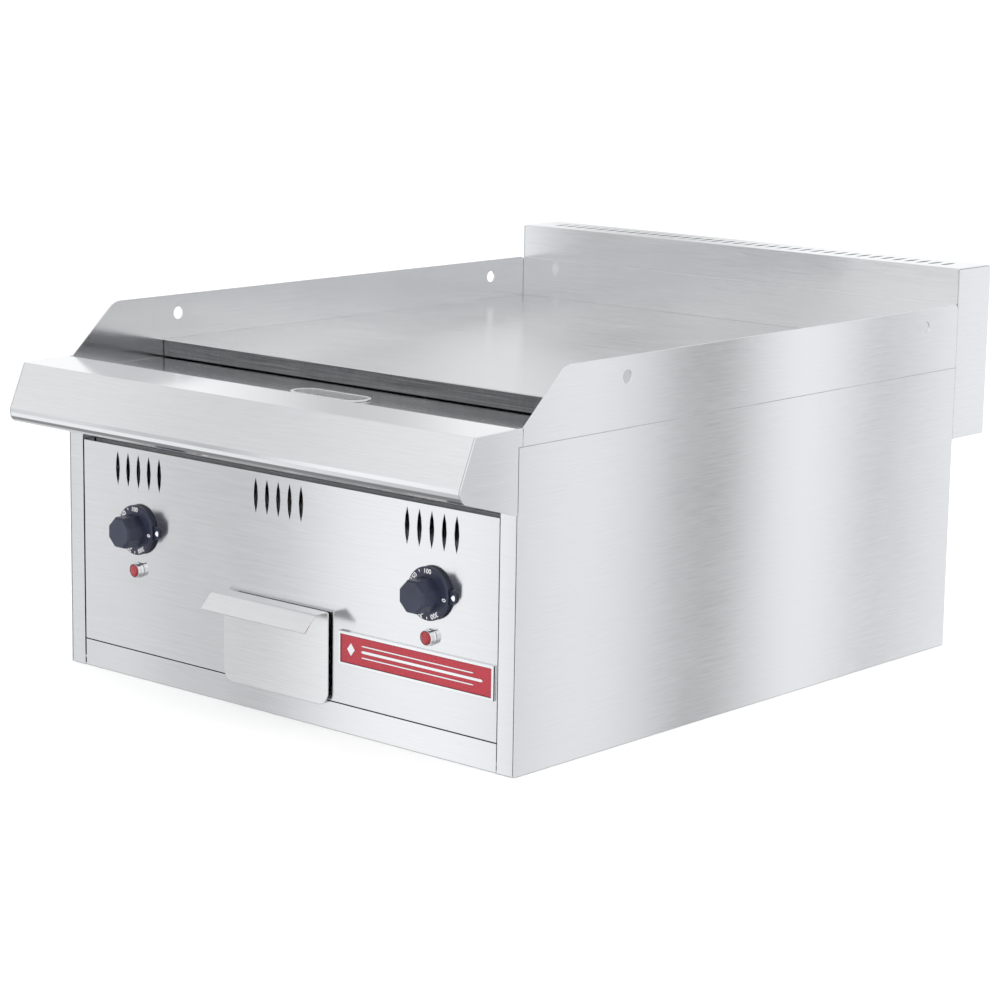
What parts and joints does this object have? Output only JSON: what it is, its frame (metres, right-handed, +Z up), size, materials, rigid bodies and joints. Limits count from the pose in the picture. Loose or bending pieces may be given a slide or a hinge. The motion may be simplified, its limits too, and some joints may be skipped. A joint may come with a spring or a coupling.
{
  "type": "flat top griddle",
  "caption": "Countertop electric flat top griddle with splash guards, front ledge, thermostat knobs, grease drawer and rear vent box.",
  "frame": {"origin": "centre of the bounding box's bottom face, on the worktop", "axes": "+X to the operator's right, +Y to the rear (depth), +Z up; the controls face -Y"},
  "size_m": [0.6, 0.8295, 0.4017],
  "materials": {
    "brushed": "fine horizontal brushed stainless steel",
    "inner": "plain mill finish sheet",
    "plate": "ground steel cooking plate",
    "black": "satin blue-black thermoset plastic",
    "chrome": "bright chrome",
    "lens": "translucent red lens",
    "enamel": "red enamel",
    "element": "heat darkened element sheath",
    "wool": "mineral wool",
    "brass": "plain",
    "ceramic": "unglazed"
  },
  "bodies": {
    "cabinet": {"front_post_left": "brushed", "front_post_right": "brushed", "side_panel_left": "brushed", "side_panel_right": "brushed", "control_panel": "brushed", "base_rail": "brushed", "front_ledge": "brushed", "ledge_cap_left": "brushed", "ledge_cap_right": "brushed", "splash_left": "brushed", "splash_right": "brushed", "splash_rear": "brushed", "grease_trough": "brushed", "drain_chute": "brushed", "vent_box_shell": "brushed", "vent_box_end_left": "brushed", "vent_box_end_right": "brushed", "vent_box_floor": "brushed", "upper_rail": "inner", "bottom_pan": "inner", "rear_panel": "inner", "plate_support_front": "inner", "plate_support_rear": "inner", "heat_shield": "inner", "element_clamp_left_front": "inner", "element_clamp_left_rear": "inner", "element_clamp_right_front": "inner", "element_clamp_right_rear": "inner", "drawer_runner_left": "inner", "drawer_runner_right": "inner", "griddle_plate": "plate", "dial_ring_left": "black", "dial_ring_right": "black", "cable_gland": "black", "gland_nut": "black", "pilot_bezel_left": "chrome", "pilot_bezel_right": "chrome", "pilot_nut_left": "chrome", "pilot_nut_right": "chrome", "badge_frame": "chrome", "pilot_lens_left": "lens", "pilot_lens_right": "lens", "badge_plate": "enamel", "heating_element_left": "element", "heating_element_right": "element", "insulation_pad": "wool", "thermostat_bulb_left": "brass", "thermostat_bulb_right": "brass", "thermostat_left": "ceramic", "thermostat_right": "ceramic", "terminal_block": "ceramic"},
    "knob_left_body": {"knob_left": "black", "spindle_left": "brass"},
    "knob_right_body": {"knob_right": "black", "spindle_right": "brass"},
    "grease_drawer": {"drawer_front": "brushed", "drawer_tray": "inner"}
  },
  "joints": [
    {"name": "knob_left_turn", "type": "hinge", "parent": "cabinet", "child": "knob_left_body", "pos_m": [-0.197, -0.33815, 0.1518], "axis": [0, 1, 0], "range_deg": [0, 300]},
    {"name": "knob_right_turn", "type": "hinge", "parent": "cabinet", "child": "knob_right_body", "pos_m": [0.197, -0.33815, 0.1518], "axis": [0, 1, 0], "range_deg": [0, 300]},
    {"name": "grease_drawer_slide", "type": "slide", "parent": "cabinet", "child": "grease_drawer", "axis": [0, -1, 0], "range_m": [0, 0.2]}
  ]
}
